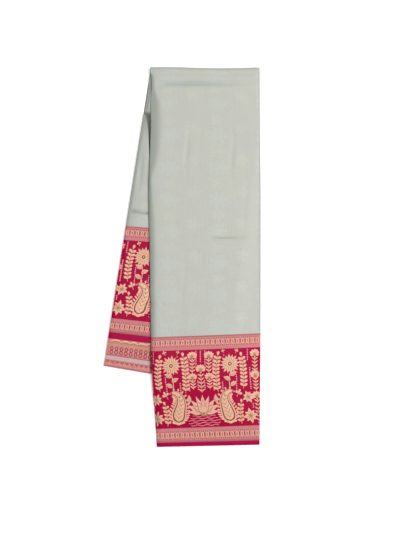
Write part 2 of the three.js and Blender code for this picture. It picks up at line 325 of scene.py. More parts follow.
def front_ply(downs, inset):
    """Outer ply of the front drop, row by row: up round the left fold and over the face."""
    downs = np.asarray(downs, float)
    d = downs[:, None]
    first = read(FOLD_ROWS, FOLD_REACH, d) / (front_right(d) - front_left(d))
    across = mix(first, 1, np.linspace(0, 1, FACE)[None, :])
    face, flat = (on_front(a, d, inset) for a in (across, np.hstack([first * FOLD_SHARES[None, :], across])))
    wrapped = np.concatenate([fold_profile(downs, inset), face], axis=1)
    return mix(flat, wrapped, ease(d, TURN - 1, 10)[..., None])


def on_front(across, down, inset):
    x, y = front_plan(across, down)
    return np.stack([x, y, front_top(across, down) - inset], axis=-1)


PRESSED = 0.42  # how square the top turn is, 1 being round


def on_turn(across, angle, radius, lifted=1.0):
    """Points round the top turn, at angles from the underside (-90) to the front face (90)."""
    a = np.radians(angle)
    fx, fy = front_plan(across, TURN)
    bx, by = back_plan(across, TURN)
    share = (a + np.pi / 2) / np.pi
    lift = (front_top(across, TURN) - 2 * TURN) * smooth(share * 1.4 - 0.4) * lifted
    y = mix(by, fy, share) + radius * np.cos(a) ** PRESSED
    z = TURN + radius * np.sign(a) * np.abs(np.sin(a)) ** PRESSED + lift
    return np.stack([mix(bx, fx, share), y, z], axis=-1)


def turn_ply(angles, inset):
    """Outer ply over the top turn."""
    first = FOLD_REACH[0] / BAND
    across = np.concatenate([first * FOLD_SHARES, np.linspace(first, 1, FACE)])[None, :]
    return on_turn(across, angles[:, None], TURN - inset)


# ---- Mesh helpers ----
def make_mesh(name, points, faces, uv, material, tint=None, sharp=None, crisp=False):
    """An object from points in the plan's millimetres."""
    mesh = bpy.data.meshes.new(name)
    mesh.from_pydata(((points - CENTRE) / 1000).tolist(), [], [list(f) for f in faces])
    mesh.update(calc_edges=True)
    if not crisp:
        mesh.shade_smooth()
    loop_verts = np.zeros(len(mesh.loops), int)
    mesh.loops.foreach_get("vertex_index", loop_verts)
    layer = mesh.uv_layers.new(name="cloth")
    layer.uv.foreach_set("vector", (np.asarray(uv) / 1000)[loop_verts].astype(np.float32).ravel())
    if tint is not None:
        layer = mesh.color_attributes.new("tint", "FLOAT_COLOR", "POINT")
        rgba = np.column_stack([tint, np.ones(len(tint))])
        layer.data.foreach_set("color", rgba.astype(np.float32).ravel())
    if sharp is not None:
        ends = np.zeros(len(mesh.edges) * 2, int)
        mesh.edges.foreach_get("vertices", ends)
        marked = sharp[ends.reshape(-1, 2)]
        layer = mesh.attributes.new("sharp_edge", "BOOLEAN", "EDGE")
        layer.data.foreach_set("value", (marked[:, 0] == marked[:, 1]) & (marked[:, 0] > 0))
    obj = bpy.data.objects.new(name, mesh)
    scene.collection.objects.link(obj)
    mesh.materials.append(material)
    return obj


def shell(name, top, bottom, uv, material):
    """A closed thin shell between two grids of points of the same shape."""
    rows, cols = top.shape[:2]
    n = rows * cols
    index = np.arange(n).reshape(rows, cols)
    upper = np.stack([index[:-1, :-1], index[1:, :-1], index[1:, 1:], index[:-1, 1:]], axis=-1).reshape(-1, 4)
    ring = np.concatenate([index[0, :-1], index[:-1, -1], index[-1, :0:-1], index[:0:-1, 0]])
    after = np.roll(ring, -1)
    rim = np.stack([ring, after, after + n, ring + n], axis=-1)
    sharp = np.zeros(2 * n, int)
    sharp[ring], sharp[ring + n] = 1, 2
    points = np.concatenate([top.reshape(-1, 3), bottom.reshape(-1, 3)])
    faces = np.concatenate([upper, upper[:, ::-1] + n, rim])
    return make_mesh(name, points, faces, np.tile(uv.reshape(-1, 2), (2, 1)), material, sharp=sharp)


# ---- Colours ----
def rgb(red, green, blue):
    """Linear colour of an 8-bit one."""
    c = np.array([red, green, blue]) / 255
    return np.where(c <= 0.04045, c / 12.92, ((c + 0.055) / 1.055) ** 2.4)


FIELD = rgb(198, 200, 191) * 0.88
CRIMSON = rgb(177, 2, 60)
STRIPE = rgb(181, 2, 71)
SALMON = rgb(216, 136, 130)
MAUVE = rgb(186, 112, 118)
PINK = rgb(214, 132, 137)
BAR = rgb(104, 34, 38)
OVAL = rgb(246, 184, 166)
CORAL = rgb(226, 122, 104)
TAN = rgb(206, 158, 128)
ROSE = rgb(150, 46, 66)
DOT = rgb(122, 52, 52)
LAVENDER = rgb(212, 182, 181)
CREAM = rgb(238, 192, 150)
BLUSH = rgb(252, 176, 168)
OLIVE = rgb(164, 134, 98)
BEAD = rgb(255, 160, 176)


# ---- Materials ----
BAND_SOFT = 0.25  # half the width over which one woven band's colour meets the next's


class Value:
    """The value of a node's socket, so that node sums read like sums."""

    def __init__(self, shader, socket):
        self.shader, self.socket = shader, socket

    def __add__(self, other):
        return self.shader.math("ADD", self, other)

    def __sub__(self, other):
        return self.shader.math("SUBTRACT", self, other)

    def __rsub__(self, other):
        return self.shader.math("SUBTRACT", other, self)

    def __mul__(self, other):
        return self.shader.math("MULTIPLY", self, other)

    def __truediv__(self, other):
        return self.shader.math("DIVIDE", self, other)


class Shader:
    """Small helper for building a node material."""

    def __init__(self, name):
        self.material = bpy.data.materials.new(name)
        self.material.use_nodes = True
        self.tree = self.material.node_tree
        self.tree.nodes.clear()
        self.out = self.tree.nodes.new("ShaderNodeOutputMaterial")
        self.bsdf = self.tree.nodes.new("ShaderNodeBsdfPrincipled")
        self.tree.links.new(self.bsdf.outputs["BSDF"], self.out.inputs["Surface"])

    def node(self, kind, inputs, output, **settings):
        """A new node with its inputs set by name or number; the result is one of its outputs."""
        node = self.tree.nodes.new(kind)
        for key, value in settings.items():
            setattr(node, key, value)
        for key, value in inputs.items():
            self.put(node.inputs[key], value)
        return Value(self, node.outputs[output])

    def put(self, socket, value):
        if isinstance(value, Value):
            self.tree.links.new(value.socket, socket)
        elif hasattr(value, "__len__"):
            socket.default_value = [*value, 1.0][: len(socket.default_value)]
        else:
            socket.default_value = value

    def math(self, op, a, b=0.0):
        return self.node("ShaderNodeMath", {0: a, 1: b}, 0, operation=op)

    def step(self, value, low, high):
        inputs = {"Value": value, "From Min": low, "From Max": high}
        return self.node("ShaderNodeMapRange", inputs, 0, interpolation_type="SMOOTHSTEP")

    def colour(self, factor, a, b, blend="MIX"):
        return self.node("ShaderNodeMix", {0: factor, 6: a, 7: b}, 2, data_type="RGBA", blend_type=blend)

    def uv(self):
        place = self.node("ShaderNodeUVMap", {}, 0, uv_map="cloth")
        return tuple(self.node("ShaderNodeSeparateXYZ", {0: place}, axis) * 1000.0 for axis in (0, 1))

    def tint(self):
        """The colour painted on the points: the brocade's thread colours, and painted shade on the inner
        plies.
        """
        return self.node("ShaderNodeAttribute", {}, "Color", attribute_name="tint")

    def noise(self, u, v, across, along, seed):
        """Noise with grains of that size in millimetres, across and along the cloth."""
        place = self.node("ShaderNodeCombineXYZ", {0: u / across, 1: v / along, 2: seed}, 0)
        return self.node("ShaderNodeTexNoise", {"Vector": place, "Scale": 1.0, "Detail": 2.0}, 0)

    def bands(self, value, top, stops):
        """Plain bands of colour up the cloth: each stop is (where it starts, colour)."""
        ramp = self.tree.nodes.new("ShaderNodeValToRGB")
        self.put(ramp.inputs[0], value / top)
        rows = [(0.0, stops[0][1])]
        for (_, before), (start, after) in zip(stops, stops[1:]):
            rows += [((start - BAND_SOFT) / top, before), ((start + BAND_SOFT) / top, after)]
        elements = ramp.color_ramp.elements
        while len(elements) < len(rows):
            elements.new(1.0)
        for element, (place, tone) in [*zip(elements, rows)] * 2:  # again, in case the first round moved any
            element.position = place
            element.color = (*tone, 1.0)
        return Value(self, ramp.outputs[0])

    def bump(self, height, distance):
        normal = self.node("ShaderNodeBump", {"Strength": 1.0, "Distance": distance, "Height": height}, 0)
        self.put(self.bsdf.inputs["Normal"], normal)

    def finish(self, colour, roughness, **plain):
        self.put(self.bsdf.inputs["Base Color"], colour)
        self.put(self.bsdf.inputs["Roughness"], roughness)
        for name, value in plain.items():
            self.bsdf.inputs[name.replace("_", " ")].default_value = value
        return self.material


def weave(s, u, v):
    """Slubs along both threads, and the fine ribs of the cloth, as one height."""
    warp = s.noise(u, v, 1.1, 60, 1.0)
    weft = s.noise(u, v, 45, 0.9, 2.0)
    ribs = s.math("SINE", (u + v * 0.6) * (2 * math.pi / 1.1))
    return warp, weft, warp * 0.9 + weft * 0.6 + ribs * 0.18


FIGURE_WIDE, FIGURE_TALL = 86.4, 57.6  # the field's repeat


def damask(s, u, v):
    """Tone-on-tone figures: sprays in a cool thread, smaller ones in a warm thread, and a vine."""
    def figure(du, dv, petals, size):
        x = (s.math("FRACT", u / FIGURE_WIDE + du) - 0.5) * FIGURE_WIDE
        y = (s.math("FRACT", v / FIGURE_TALL + dv) - 0.5) * FIGURE_TALL
        far = s.math("SQRT", x * x + y * y * 1.5)
        angle = s.math("ARCTAN2", y, x)
        edge = (s.math("ABSOLUTE", s.math("COSINE", angle * (petals / 2))) * 0.55 + 0.45) * size
        ratio = far / edge
        rings = s.step(s.math("SINE", far * 1.5 + s.math("SINE", angle * 3.0) * 1.2), -0.5, 0.7)
        body = (1.0 - s.step(ratio, 0.65, 1.1)) * (rings * 0.45 + 0.55)
        groove = s.step(ratio, 0.42, 0.5) * (1.0 - s.step(ratio, 0.52, 0.6))
        return body - groove * 0.6
    cool = figure(0.137, 0.781, 7, 21)
    warm = s.math("MAXIMUM", figure(0.137, 0.281, 5, 14), figure(0.637, 0.55, 5, 14))
    waves = s.math("SINE", u * (4 * math.pi / FIGURE_WIDE)) - s.math("SINE", v * (2 * math.pi / FIGURE_TALL))
    return cool, warm, 1.0 - s.step(s.math("ABSOLUTE", waves), 0.05, 0.16)


METAL = 0.13  # share of metal thread in the pale tissue
VIVID = 0.5  # how far apart a tone's channels are where its bands are the strongly coloured ones


def silk(name, ground, painted_fold_shade, painted_fold_shade_wide, crease_shades):
    """Pale tissue silk with a tone-on-tone figure, with painted shade along the left fold over the given
    width,
    and painted shade along each crease line: how far up it is at the left, its slope, where it starts, where
    it ends, its half width and its painted shade tone."""
    s = Shader(name)
    u, v = s.uv()
    warp, weft, height = weave(s, u, v)
    tone = s.colour(s.step(warp, 0.3, 0.7), ground * np.array([0.96, 0.965, 0.975]), ground * 1.02)
    warmth = s.step(v, 200.0, 460.0) * 0.5 + 0.12
    patch = s.step(s.noise(u, v, 70, 90, 5.0), 0.35, 0.7)
    tone = s.colour(patch * warmth, tone, ground * np.array([1.02, 1.0, 0.93]))
    tone = s.colour(s.step(weft, 0.4, 0.75) * 0.25, tone, ground * 0.94)
    # painted shade: darker towards the left fold's edge, where the fold turns away from the light
    tone = s.colour(1.0 - s.step(u, 2.0, painted_fold_shade_wide), tone, painted_fold_shade, "MULTIPLY")
    cool, warm, vine = damask(s, u, v)
    tone = s.colour(cool * 0.62, tone, ground * np.array([0.925, 1.01, 1.045]))
    tone = s.colour(warm * 0.42, tone, ground * np.array([1.045, 0.985, 0.9]))
    tone = s.colour(vine * 0.34, tone, ground * np.array([0.95, 1.0, 1.0]))
    # painted shade: each crease line is darkened in the colour
    for up, slope, start, end, half, crease_shade in crease_shades:
        off = s.math("ABSOLUTE", v - up - u * slope)
        line = (1.0 - s.step(off, half * 0.13, half)) * s.step(u, *start) * (1.0 - s.step(u, *end))
        tone = s.colour(line, tone, crease_shade, "MULTIPLY")
    figures = cool + warm
    s.bump(height + figures * 0.55, 0.00011)
    rough = weft * 0.12 + 0.52 - figures * 0.06
    return s.finish(tone, rough, Metallic=METAL, Specular_IOR_Level=0.45)


def banded(name, top, stops, gloss=0.07, tinted=False):
    """Silk woven in plain bands up from the hem, streaked in its threads. tinted multiplies in the points'
    tint, which on the inner plies is painted shade.
    """
    s = Shader(name)
    u, v = s.uv()
    strength = [(at, [0.7 if max(tone) - min(tone) > VIVID else 0.22] * 3) for at, tone in stops]
    patching = s.node("ShaderNodeSeparateColor", {0: s.bands(v, top, strength)}, 0)
    warp, weft, height = weave(s, u, v)
    tone = s.colour(s.step(warp, 0.35, 0.75) * 0.5, s.bands(v, top, stops), (0.8, 0.8, 0.8), "MULTIPLY")
    for seed, tint in ((7.0, (0.98, 1.0, 1.75)), (9.0, (1.04, 0.92, 0.6))):
        patch = s.step(s.noise(u, v, 13, 22, seed), 0.46, 0.66)
        tone = s.colour(patch * patching, tone, tint, "MULTIPLY")
    tone = s.colour(s.step(weft, 0.45, 0.8) * 0.3, tone, (0.86, 0.82, 0.82), "MULTIPLY")
    if tinted:
        tone = s.colour(1.0, tone, s.tint(), "MULTIPLY")
    s.bump(height, 0.00013)
    return s.finish(tone, weft * 0.15 + 0.4, Specular_IOR_Level=gloss, Anisotropic=0.3)


def threads(name):
    """Brocade thread laid over the ground; its colour is painted on the points."""
    s = Shader(name)
    u, v = s.uv()
    grain = s.noise(u, v, 0.8, 5, 3.0)
    tone = s.colour(s.step(grain, 0.35, 0.75) * 0.5, s.tint(), (0.88, 0.83, 0.8), "MULTIPLY")
    s.bump(grain + s.math("SINE", v * (2 * math.pi / 0.9)) * 0.2, 0.00012)
    return s.finish(tone, 0.42, Specular_IOR_Level=0.35)


CHAIN = 25.0  # height of a chain band
FRONT_CHAINS, BACK_CHAINS = (7.7, 173.4), (11.2, 179.4)  # where each border's two chain bands start


def chain_stops(base, flip):
    """Bands of colour in a chain band that starts at base; flip puts its plain line on top."""
    rows = [(0, PINK), (5.0, SALMON), (22.4, MAUVE)]
    if flip:
        rows = [(0, MAUVE), (3.4, SALMON), (20.0, PINK)]
    return [(base + at, tone) for at, tone in rows]


def border_stops(low, high):
    return [(0, STRIPE), *chain_stops(low, True), (low + CHAIN, CRIMSON), *chain_stops(high, False)]


FRONT_BANDS = border_stops(*FRONT_CHAINS)
# painted shade: the back border's band colours are the front's, darkened
BACK_BANDS = [(at, tone * 0.96) for at, tone in [*border_stops(*BACK_CHAINS), (204.4, FIELD)]]
SECOND_BANDS = [(0, MAUVE), (2.7, SALMON), (13.4, LAVENDER), (20.2, MAUVE), (22.4, SALMON), (38.4, TAN),
                (42.0, SALMON), (50.5, CRIMSON)]

# painted shade in the creases: how far up at the left, slope, start, end, half width and shade tone
FRONT_CREASE_SHADES = [
    (FRONT_DROP - TOP_CREASE, 4 / BAND, (8.0, 34.0), (70.0, 165.0), 6.0, (0.84, 0.92, 0.95)),
    (FRONT_DROP - LOW_CREASE, -3 / BAND, (100.0, 128.0), (138.0, 172.0), 1.6, (0.74, 0.7, 0.62)),
]
BACK_CREASE_SHADES = [
    (BACK_DROP - BACK_CREASE, -CREASE_SLOPE, (1.0, 8.0), (BAND, BAND + 1), 3.0, (0.68, 0.79, 0.81)),
]
BANDED_TO = 210.0  # how far up the cloth its bands are given
# the tone after each ground is painted shade along the left fold, over the width that follows it in
# millimetres
field_silk = silk("field_silk", FIELD, (0.89, 0.955, 0.96), 16.0, FRONT_CREASE_SHADES)
# painted shade: the back drop's field is the front's silk, a little darker
back_silk = silk("back_silk", FIELD * 0.985, (0.86, 0.89, 0.895), 26.0, BACK_CREASE_SHADES)
front_band_silk = banded("front_border_silk", BANDED_TO, FRONT_BANDS)
back_band_silk = banded("back_border_silk", BANDED_TO, BACK_BANDS)
second_band_silk = banded("second_border_silk", 80.0, SECOND_BANDS)
# the inner plies' material takes painted shade from the points' tint
ply_silk = banded("ply_silk", BANDED_TO, [*FRONT_BANDS, (200.0, FIELD)], 0.3, True)
thread_silk = threads("brocade_thread")


# ---- Cloth ----
def along(a, b, pitch):
    return np.linspace(a, b, max(2, int(round(abs(b - a) / pitch)) + 1))


def grid_uv(u, v):
    return np.stack(np.broadcast_arrays(u, v), axis=-1)


def arc(points):
    """Distance along each row of a grid, from its first point."""
    steps = np.linalg.norm(np.diff(points, axis=1), axis=-1)
    return np.concatenate([np.zeros((len(points), 1)), np.cumsum(steps, axis=1)], axis=1)


def from_fold(points):
    """Distance along each row of the front drop's grid, from the left fold's outermost line."""
    far = arc(points)
    return far - far[:, OUTERMOST][:, None]


turn_angles = np.linspace(-90, 90, 25)
field_downs = np.concatenate([along(TURN, 60, 1.3), along(60, FRONT_SEAM, GRID)[1:]])


def front_field():
    outer, inner = (np.concatenate([turn_ply(turn_angles, inset), front_ply(field_downs, inset)[1:]])
                    for inset in (0.0, PLY))
    turn_length = math.pi * TURN * (90 - turn_angles) / 180
    up = np.concatenate([FRONT_DROP - TURN + turn_length, FRONT_DROP - field_downs[1:]])
    far = from_fold(outer)
    uv = grid_uv(far - far[:, -1:] + BAND, up[:, None])
    return shell("front_field_cloth", outer, inner, uv, field_silk)


def front_border():
    downs = along(FRONT_SEAM, FRONT_DROP, GRID)
    outer, inner = (front_ply(downs, inset) for inset in (0.0, PLY))
    uv = grid_uv(from_fold(outer), (FRONT_DROP - downs)[:, None])
    return shell("front_border_cloth", outer, inner, uv, front_band_silk)


BACK_GRID = GRID + 0.2


def back_sheet(name, start, end, height, hem, material):
    """start may be one distance down, or one for each point across."""
    across = np.linspace(0, 1, int(BAND / BACK_GRID))[None, :]
    share = along(0, end - np.min(start), BACK_GRID)[:, None] / (end - np.min(start))
    downs = mix(start, end, share) + 0 * across
    x, y = back_plan(across, downs)
    z = height(across, downs)
    top, bottom = (np.stack([x, y, z - inset], axis=-1) for inset in (0.0, PLY))
    return shell(name, top, bottom, grid_uv(across * BAND, hem - downs), material)


def under_top(across, down):
    side = across * BAND
    edge = 0.35 * (1 - smooth(side / 2)) + 0.35 * ease(side, BAND - 2, 2)
    return 0.95 + edge + 0 * down


front_field_cloth = front_field()
front_border_cloth = front_border()
# where the nearest back ply starts: down along the wedge, and up again where the front drop covers it
near_edge = read([0, 6.1, 12.5, 19.1, 25.9, 34.5, 42, 75, BAND], [81.5, 93, 111, 142, 178, 224, 226, 90, 84],
                 np.linspace(0, BAND, int(BAND / BACK_GRID)))[None, :]
back_field_cloth = back_sheet("back_field_cloth", near_edge, BACK_SEAM, back_top, BACK_DROP, back_silk)
back_border_cloth = back_sheet(
    "back_border_cloth", BACK_SEAM, BACK_DROP, back_top, BACK_DROP, back_band_silk)
second_border_cloth = back_sheet(
    "second_border_cloth", SECOND_START - 4, SECOND_DROP, second_top, SECOND_DROP, second_band_silk)
under_field_cloth = back_sheet("under_field_cloth", TURN, UNDER_SEAM, under_top, UNDER_DROP, field_silk)
under_border_cloth = back_sheet(
    "under_border_cloth", UNDER_SEAM, UNDER_DROP, under_top, UNDER_DROP, front_band_silk)

# ---- The plies between, bundle by bundle ----
BUNDLES = 13
RING = 12  # points across the top of a bundle
SLACK = 0.25  # how far the bundles stay inside the sheets
SIDE = np.array([0.22, 0.3, 0.22]) / BAND  # how far a bundle's round edge stands out
# how far each bundle's edges and ends stay back
ply_left, ply_right, ply_back_end, ply_front_end = np.random.default_rng(41).uniform(
    [[0.1], [0.1], [0.2], [0.1]], [[1.7], [1.5], [3.6], [1.5]], (4, BUNDLES))


def core_back(across, level, down):
    above = np.where(down > SECOND_START - 6, second_top(across, down), back_top(across, down))
    top = above - PLY - SLACK
    top = np.where(down < NEAR_START, top + 0.3 * smooth((NEAR_START - down) / 10), top)
    top = np.maximum(top - notch_depth(across, down), SKIN + 0.6)
    x, y = back_plan(across, down)
    return np.stack([x, y, mix(top, SKIN + 0.1, level)], axis=-1)


def wedge_painted_shade(across, down):
    """Painted shade: how much of the cloth's colour is left where the inner plies show, deep in the wedge and
    above it.
    """
    past = notch_past(across, down)
    inside = smooth(1 + past * 40) * (1 - ease(past, 0.75, 0.3))
    above = 1 - (1 - ABOVE_PAINTED_SHADE) * ease(down, 22, 16) * (1 - ease(down, 76, 8))
    return above * (1 - (1 - WEDGE_PAINTED_SHADE) * inside * notch_open(down) * (1 - ease(down, 150, 60)))


def core_turn(across, level, angle):
    return on_turn(across, angle, mix(TEARDROP, TURN - PLY - SLACK, level), level)


def core_front(across, level, down):
    x, y = front_plan(across, down)
    z = mix(front_floor(x, y, down), front_top(across, down) - PLY - SLACK, level)
    side_x, side_y, reach, slope, crown, waist, foot = fold_shape(down)
    upper = z > waist
    wide = np.where(upper, reach, FOLD_UNDER)
    high_side = np.where(upper, crown - waist, waist - foot)
    sine = np.clip(np.abs(z - waist) / np.maximum(high_side - PLY - 0.3, 0.1), 0, 1)
    edge = side_x + wide - (wide - PLY - 0.5) * (1 - slope_in(sine, np.where(upper, slope, 0.0)))
    left = mix(side_x, edge, ease(down, TURN - 1, 9))
    return np.stack([mix(left, front_right(down), across), y, z], axis=-1)


PAINTED_SHADE_HUE = np.array([0.94, 1.04, 1.0])  # towards this hue the plies with painted shade lean


def stations(n):
    """Where bundle n's rings stand: up the back drop, round the turn and down the front drop."""
    back_end = UNDER_DROP - 0.4 - ply_back_end[n]
    front_end = FRONT_DROP - 0.3 - ply_front_end[n]
    backs = np.concatenate([
        [back_end, back_end - 0.5], along(back_end - 5, SECOND_START, 6)[:-1],
        [SECOND_START, SECOND_START - 5, SECOND_START - 7], along(462, 280, 9), along(274, 250, 2),
        along(243, 140, 9), along(134, 86, 4), along(84.5, NOTCH_TOP, 1.6), along(75, 20, 5), [TURN]])
    fronts = np.concatenate([along(TURN, 60, 3), along(66, 670, 9), [676, front_end - 0.5, front_end]])
    return ([("back", d) for d in backs] + [("turn", a) for a in np.linspace(-90, 90, 17)[1:-1]]
            + [("front", d) for d in fronts])


def ply_ring(n, kind, at, travel, ends):
    """One ring of points round bundle n: shares across the band, and levels through the stack."""
    t0, t1 = n / BUNDLES, (n + 1) / BUNDLES
    wander = 0.55 * np.sin(travel / (55 + 9 * n % 37) + 1.7 * n) + 0.3 * np.sin(travel / 23 + 2.9 * n)
    left = ply_left[n] + 0.5 * wander
    right = ply_right[n] + 0.5 * np.cos(travel / (49 + 7 * n % 31) + 0.9 * n)
    if kind == "back":  # the plies fan out a little below the turn
        fan = ease(at, 8, 30) * (1 - ease(at, 72, 26))
        left += fan * (5.2 * (1 - t0) * (0.75 + 0.25 * np.sin(2.3 * n)))
    if kind == "front":
        left = mix(left, 0.15, ease(at, TURN - 1, 9))
    left, right = max(left, 0.12), max(right, 0.12)
    a_left, a_right = (left + 0.3) / BAND, 1 - (right + 0.3) / BAND
    inner = mix(a_left, a_right, np.concatenate([
        [0.0, 0.012, 0.03, 0.06], np.linspace(0.12, 0.88, RING - 8), [0.94, 0.97, 0.988, 1.0]]))
    if kind == "back" and NOTCH_TOP - 1 < at < NOTCH_CLOSES + NOTCH_EASE + 1:
        edge, wall = (float(value) / BAND for value in notch_span(at))
        edge = max(edge, a_left + 1.2 / BAND)
        inner[1:8] = [mix(a_left, edge, 0.5), edge - 0.4 / BAND, *np.linspace(edge, wall, 5)]
    low, high = mix(t0, t1, 0.04), mix(t0, t1, 0.96)
    third, middle = (t1 - t0) * 0.28, (low + high) / 2
    across = np.concatenate([inner, a_right + SIDE, inner[::-1], a_left - SIDE])
    level = np.concatenate([np.full(RING, high), [high - third, middle, low + third],
                            np.full(RING, low), [low + third, middle, high - third]])
    return across, middle + (level - middle) * 0.55 if ends else level


def plies():
    core = {"back": core_back, "turn": core_turn, "front": core_front}
    points, faces, uvs, tints = [], [], [], []
    start = 0
    for n in range(BUNDLES):
        rows = []
        places = stations(n)
        for k, (kind, at) in enumerate(places):
            across, level = ply_ring(n, kind, at, 6.0 * (k + 1), k in (0, len(places) - 1))
            here = np.full(across.shape, float(at))
            rows.append(core[kind](across, level, here))
            up = {"back": UNDER_DROP - at, "turn": FRONT_DROP - TURN + 15, "front": FRONT_DROP - at}[kind]
            uvs.append(np.column_stack([across * BAND, np.full(across.shape, up)]))
            # painted shade on the back plies in and above the wedge, carried to the material in the points'
            # tint
            painted_shade = (wedge_painted_shade(across, here) if kind == "back" else np.ones(across.shape))[:, None]
            tints.append(painted_shade * mix(np.ones(3), PAINTED_SHADE_HUE, (1 - painted_shade) * 1.6))
        ring = np.array(rows)
        count, size = ring.shape[:2]
        index = start + np.arange(count * size).reshape(count, size)
        after = np.roll(index, -1, axis=1)
        faces += np.stack([index[:-1], after[:-1], after[1:], index[1:]], axis=-1).reshape(-1, 4).tolist()
        for row, turn in ((index[0], -1), (index[-1], 1)):
            upper = np.concatenate([[row[-1]], row[:RING], [row[RING]]])
            lower = np.concatenate([[row[2 * RING + 3]], row[RING + 3:2 * RING + 3][::-1], [row[RING + 2]]])
            faces += np.stack([upper[:-1], upper[1:], lower[1:], lower[:-1]], axis=-1)[:, ::turn].tolist()
            faces += [row[k:k + 3][::turn].tolist() for k in (RING, 2 * RING + 3)]
        points.append(ring.reshape(-1, 3))
        start += count * size
    points, uvs, tints = (np.concatenate(part) for part in (points, uvs, tints))
    obj = make_mesh("inner_plies", points, faces, uvs, ply_silk, tints)
    tidy_normals(obj)
    return obj


def tidy_normals(obj):
    bm = bmesh.new()
    bm.from_mesh(obj.data)
    bmesh.ops.recalc_face_normals(bm, faces=bm.faces)
    bm.to_mesh(obj.data)
    bm.free()


inner_plies = plies()

# ---- Brocade: ribbons of thread laid on a surface ----
BASE = -0.06  # how far a ribbon's edges are sunk into the cloth
TIP_RISE = 0.02  # how far a ribbon's pointed end stands above its edges
# how far apart the repeated small motifs are, in millimetres
BEAD_PITCH, WATER_PITCH, OVAL_PITCH, DOT_PITCH, DASH_PITCH, ROW_PITCH = 3.1, 4.2, 9.0, 3.5, 6.4, 8.8


class Weave:
    """Collects ribbons in cloth millimetres (across, up from the hem) and lays them on a surface."""

    def __init__(self):
        self.points, self.faces, self.tints, self.owner = [], [], [], []
        self.ribbons = 0

    def ribbon(self, path, half, tone, height=0.3, base=BASE, closed=False):
        path, half = np.asarray(path, float), np.asarray(half, float) * np.ones(len(path))
        tone = np.asarray(tone, float) * np.ones((len(path), 3))
        ahead = np.roll(path, -1, axis=0) if closed else np.vstack([path[1:], path[-1:]])
        behind = np.roll(path, 1, axis=0) if closed else np.vstack([path[:1], path[:-1]])
        way = ahead - behind
        way /= np.maximum(np.linalg.norm(way, axis=1, keepdims=True), 1e-9)
        normal = np.column_stack([-way[:, 1], way[:, 0]])
        rows = []
        self.ribbons += 1
        for k in range(len(path)):
            if half[k] < 1e-6:
                rows.append([self.point(path[k], base + TIP_RISE, tone[k])])
                continue
            crest = base + (height - base) * min(1.0, 0.35 + half[k] / max(half.max(), 1e-6))
            rows.append([self.point(path[k] + normal[k] * half[k], base, tone[k] * 0.94),
                         self.point(path[k], crest, tone[k]),
                         self.point(path[k] - normal[k] * half[k], base, tone[k] * 0.94)])
        pairs = list(zip(rows, rows[1:])) + ([(rows[-1], rows[0])] if closed else [])
        for a, b in pairs:
            if len(a) == 1 and len(b) == 1:
                continue
            if len(a) == 1:
                self.faces += [[a[0], b[0], b[1]], [a[0], b[1], b[2]], [a[0], b[2], b[0]]]
            elif len(b) == 1:
                self.faces += [[a[0], b[0], a[1]], [a[1], b[0], a[2]], [a[2], b[0], a[0]]]
            else:
                self.faces += [[a[0], b[0], b[1], a[1]], [a[1], b[1], b[2], a[2]], [a[2], b[2], b[0], a[0]]]
        if not closed:
            for row in (rows[0], rows[-1]):
                if len(row) == 3:
                    self.faces.append(list(row))

    def point(self, place, height, tone):
        self.points.append((place[0], place[1], height))
        self.tints.append(tone)
        self.owner.append(self.ribbons)
        return len(self.points) - 1

    def lay(self, name, surface):
        """surface(across, up) gives plan points."""
        flat = np.array(self.points)
        u, up, height = flat[:, 0], flat[:, 1], flat[:, 2]
        du = surface(u + 0.2, up) - surface(u - 0.2, up)
        dv = surface(u, up + 0.2) - surface(u, up - 0.2)
        normal = np.cross(du, dv)
        normal /= np.maximum(np.linalg.norm(normal, axis=1, keepdims=True), 1e-12)
        points = surface(u, up) + normal * height[:, None]
        obj = make_mesh(name, points, self.faces, flat[:, :2], thread_silk, np.array(self.tints), crisp=True)
        tidy_normals(obj)
        return obj


def turned(points, x, y, angle):
    c, s = math.cos(math.radians(angle)), math.sin(math.radians(angle))
    points = np.asarray(points, float)
    return np.column_stack([x + points[:, 0] * c - points[:, 1] * s, y + points[:, 0] * s + points[:, 1] * c])


def fade(a, b, t):
    return np.asarray(a)[None, :] * (1 - t[:, None]) + np.asarray(b)[None, :] * t[:, None]


def petal(w, x, y, angle, length, width, tip=BLUSH, root=CREAM, pointed=False, bend=0.0, height=0.3,
          base=BASE, count=6, veined=False):
    """A petal or leaf that starts at (x, y) and grows at that angle."""
    t = np.linspace(0, 1, count)
    line = np.column_stack([length * t, bend * 4 * t * (1 - t)])
    half = np.sin(np.pi * t ** (0.85 if pointed else 1.45)) ** (1.25 if pointed else 0.75) * width / 2
    half[[0, -1]] = 0
    w.ribbon(turned(line, x, y, angle), half, fade(root, tip, t**1.6), height, base)
    if veined:
        inner = 0.12 + 0.66 * t
        line = np.column_stack([length * inner, bend * 4 * inner * (1 - inner)])
        w.ribbon(turned(line, x, y, angle), half * 0.2, OLIVE, height + 0.14, height - 0.12)


def vein(w, x, y, angle, length, width, height, base, count=4):
    """A narrow olive line on a petal or leaf."""
    petal(w, x, y, angle, length, width, OLIVE, OLIVE, pointed=True, height=height, base=base, count=count)


def dots(w, xs, y, radius, tone, height):
    for x in xs:
        disc(w, x, y, radius, tone, height, count=4)


def disc(w, x, y, radius, tone, height=0.3, base=BASE, count=5):
    t = np.linspace(-1, 1, count)
    half = np.sqrt(np.maximum(1 - t**2, 0)) * radius
    half[[0, -1]] = 0
    w.ribbon(np.column_stack([x + t * radius, y + 0 * t]), half, tone, height, base)


def stem(w, points, half, tone=BLUSH):
    w.ribbon(points, half, tone, 0.18)


def bow(x0, y0, x1, y1, bend, count=8):
    """A bowed line between two points."""
    t = np.linspace(0, 1, count)
    dx, dy = x1 - x0, y1 - y0
    far = math.hypot(dx, dy)
    k = bend * 4 * t * (1 - t) / far
    return np.column_stack([x0 + dx * t - dy * k, y0 + dy * t + dx * k])


